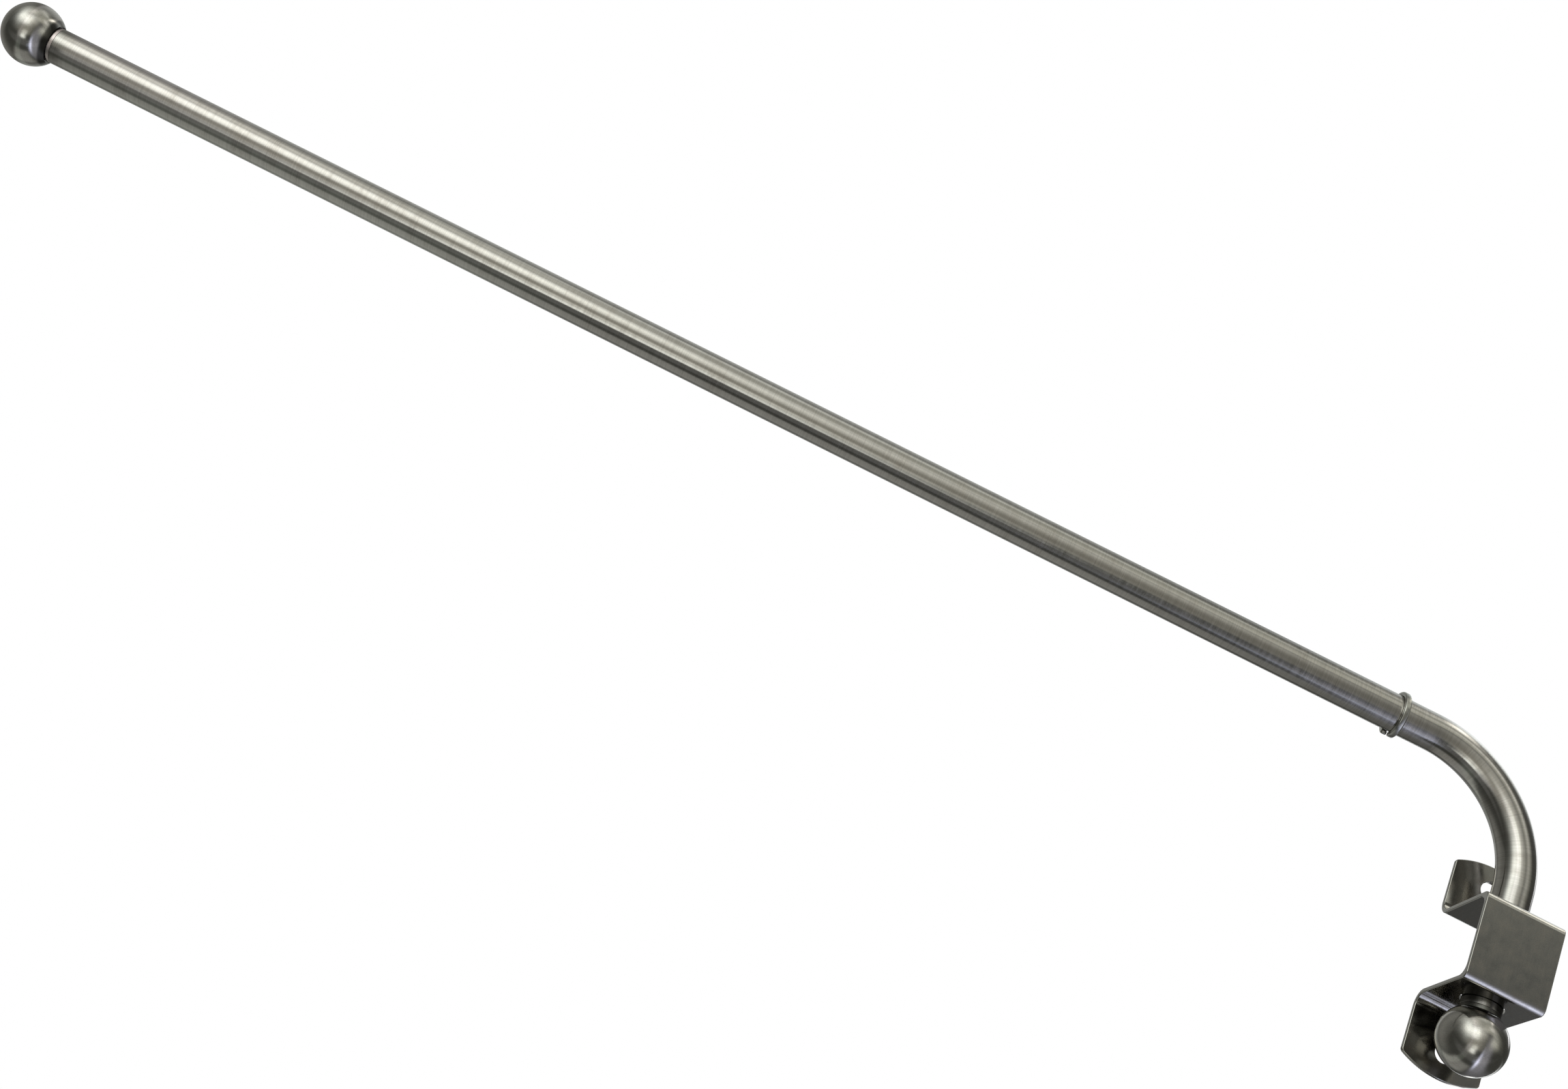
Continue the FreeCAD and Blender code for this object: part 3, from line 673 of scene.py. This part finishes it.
def strip_group():
    """One soft strip, which falls off as e to the minus of its distance, counted in its own reaches."""
    name = "soft strip"
    if name in bpy.data.node_groups:
        return bpy.data.node_groups[name]
    tree, given, result = new_group(
        name,
        [("Turn", "NodeSocketFloat", 0.0), ("Slant", "NodeSocketFloat", 0.0),
         ("Middle turn", "NodeSocketFloat", 0.0), ("Turn reach", "NodeSocketFloat", 20.0),
         ("Turn edge", "NodeSocketFloat", 2.0), ("Middle slant", "NodeSocketFloat", 0.0),
         ("Slant reach", "NodeSocketFloat", 0.2), ("Slant edge", "NodeSocketFloat", 2.0),
         ("Colour", "NodeSocketColor", (1, 1, 1, 1))],
        [("Light", "NodeSocketColor")])

    def distance(way, wrapped):
        """How far off the strip's middle, in its reaches, to the power of its edge."""
        off = sum_up(tree, "SUBTRACT", given.outputs[way], given.outputs["Middle " + way.lower()])
        if wrapped:
            off = add_node(tree, "ShaderNodeMath", {0: off, 1: 180.0, 2: -180.0}, operation="WRAP").outputs[0]
        reaches = sum_up(tree, "DIVIDE", sum_up(tree, "ABSOLUTE", off), given.outputs[way + " reach"])
        return sum_up(tree, "POWER", reaches, given.outputs[way + " edge"])

    both = sum_up(tree, "ADD", distance("Turn", True), distance("Slant", False))
    strength = sum_up(tree, "EXPONENT", sum_up(tree, "MULTIPLY", both, -1.0))
    grey = add_node(tree, "ShaderNodeCombineXYZ", {0: strength, 1: strength, 2: strength}).outputs[0]
    tree.links.new(blended(tree, 1.0, given.outputs["Colour"], grey, "MULTIPLY"), result.inputs["Light"])
    return tree


def studio_world(spec):
    """White for the camera alone. All else, the metal's mirror too, sees soft strips on a dim fill."""
    world = bpy.data.worlds.new("soft studio")
    bpy.context.scene.world = world
    world.use_nodes = True
    tree = world.node_tree
    tree.nodes.clear()
    direction = add_node(tree, "ShaderNodeTexCoord").outputs["Generated"]
    parts = add_node(tree, "ShaderNodeSeparateXYZ", {0: direction}).outputs
    outwards = sum_up(tree, "MULTIPLY", parts["Y"], -1.0)
    turn = sum_up(tree, "DEGREES", sum_up(tree, "ARCTAN2", parts["Z"], outwards))
    light = opaque(spec.fill)
    for strip in SOFT_STRIPS:
        glow = grouped(tree, strip_group(), {
            "Turn": turn, "Middle turn": strip.turn, "Turn reach": strip.reach[0], "Turn edge": strip.edge[0],
            "Slant": parts["X"], "Middle slant": strip.slant, "Slant reach": strip.reach[1],
            "Slant edge": strip.edge[1], "Colour": opaque(strip.colour)})
        light = blended(tree, 1.0, light, glow.outputs[0], "ADD")
    room = add_node(tree, "ShaderNodeBackground", {"Color": light, "Strength": spec.level})
    white = add_node(tree, "ShaderNodeBackground", {"Color": (1, 1, 1, 1), "Strength": 1.0})
    seen = add_node(tree, "ShaderNodeLightPath").outputs["Is Camera Ray"]
    mix = add_node(tree, "ShaderNodeMixShader", {0: seen, 1: room.outputs[0], 2: white.outputs[0]})
    output = tree.nodes.new("ShaderNodeOutputWorld")
    tree.links.new(mix.outputs[0], output.inputs["Surface"])


def stage_floor(spec):
    """A pale floor far under the rod. It holds back no light, and is clear when seen from below."""
    corners = np.array([[-1, -1], [1, -1], [1, 1], [-1, 1]]) * spec.floor_reach
    points = np.column_stack([corners, np.full(len(corners), -spec.floor_drop)])
    mesh = bpy.data.meshes.new("studio_floor")
    mesh.from_pydata(points.tolist(), [], [(0, 1, 2, 3)])
    floor = bpy.data.objects.new("studio_floor", mesh)
    bpy.context.scene.collection.objects.link(floor)
    material = bpy.data.materials.new("pale_floor")
    material.use_nodes = True
    tree = material.node_tree
    tree.nodes.clear()
    matt = add_node(tree, "ShaderNodeBsdfDiffuse", {"Color": opaque(spec.floor)})
    glow = add_node(tree, "ShaderNodeEmission", {"Color": (1, 1, 1, 1), "Strength": spec.floor_glow})
    both = add_node(tree, "ShaderNodeAddShader", {0: matt.outputs[0], 1: glow.outputs[0]})
    clear = tree.nodes.new("ShaderNodeBsdfTransparent").outputs[0]
    below = tree.nodes.new("ShaderNodeNewGeometry").outputs["Backfacing"]
    shown = add_node(tree, "ShaderNodeMixShader", {0: below, 1: both.outputs[0], 2: clear})
    output = tree.nodes.new("ShaderNodeOutputMaterial")
    tree.links.new(shown.outputs[0], output.inputs["Surface"])
    mesh.materials.append(material)
    floor.visible_glossy = False
    floor.visible_diffuse = False
    floor.visible_shadow = False


def stage_camera(spec):
    """The camera, low in front of the bracket's left, looking up along the rod."""
    data = bpy.data.cameras.new("photo_camera")
    camera = bpy.data.objects.new("photo_camera", data)
    bpy.context.scene.collection.objects.link(camera)
    data.sensor_width = 36.0
    data.lens = spec.focal
    data.shift_x = CAMERA_SHIFT[0]
    data.shift_y = CAMERA_SHIFT[1]
    data.clip_start = 0.01
    world_to_view = Matrix.Rotation(CAMERA_TURN.length, 3, CAMERA_TURN.normalized())
    view_to_world = world_to_view.transposed() @ Matrix.Diagonal((1, -1, -1))
    camera.matrix_world = Matrix.LocRotScale(CAMERA_PLACE, view_to_world.to_quaternion(), None)
    bpy.context.scene.camera = camera


class CURTAIN_ROD_OT_stage(bpy.types.Operator):
    """Sets up the camera, the soft lights and the floor"""
    bl_idname = "curtain_rod.stage"
    bl_label = "Studio"

    def execute(self, context):
        """The object itself isn't touched."""
        spec = settings("studio")
        stage_camera(spec)
        studio_world(spec)
        stage_floor(spec)
        context.scene.view_settings.view_transform = "Standard"
        return {"FINISHED"}


class CURTAIN_ROD_PT_panel(bpy.types.Panel):
    """Lists the steps and the settings"""
    bl_idname = "CURTAIN_ROD_PT_panel"
    bl_label = "Curtain rod"
    bl_space_type = "VIEW_3D"
    bl_region_type = "UI"
    bl_category = "Curtain rod"

    def draw(self, context):
        """One button for each step, then one box for each group of settings."""
        for operator in OPERATORS:
            self.layout.operator(operator.bl_idname)
        for name in SETTINGS:
            group = settings(name)
            box = self.layout.box()
            for key in group.__annotations__:
                box.prop(group, key)


SETTINGS = {
    "tube": RodTubeSettings,
    "ring": StopRingSettings,
    "nickel": NickelSettings,
    "studio": StudioSettings,
}
OPERATORS = (
    CURTAIN_ROD_OT_stage,
    CURTAIN_ROD_OT_tube,
    CURTAIN_ROD_OT_ring,
    CURTAIN_ROD_OT_bracket,
    CURTAIN_ROD_OT_finials,
)


def register():
    """Adds the settings, the steps and the panel to Blender."""
    for group in SETTINGS.values():
        bpy.utils.register_class(group)
    for operator in OPERATORS:
        bpy.utils.register_class(operator)
    bpy.utils.register_class(CURTAIN_ROD_PT_panel)
    for name, group in SETTINGS.items():
        setattr(bpy.types.Scene, "curtain_rod_" + name, bpy.props.PointerProperty(type=group))


def unregister():
    """Takes them out again."""
    for name in SETTINGS:
        delattr(bpy.types.Scene, "curtain_rod_" + name)
    bpy.utils.unregister_class(CURTAIN_ROD_PT_panel)
    for operator in reversed(OPERATORS):
        bpy.utils.unregister_class(operator)
    for group in reversed(list(SETTINGS.values())):
        bpy.utils.unregister_class(group)


def main():
    """Runs each step once."""
    register()
    bpy.ops.curtain_rod.stage()
    bpy.ops.curtain_rod.tube()
    bpy.ops.curtain_rod.ring()
    bpy.ops.curtain_rod.bracket()
    bpy.ops.curtain_rod.finials()


if __name__ == "__main__":
    main()
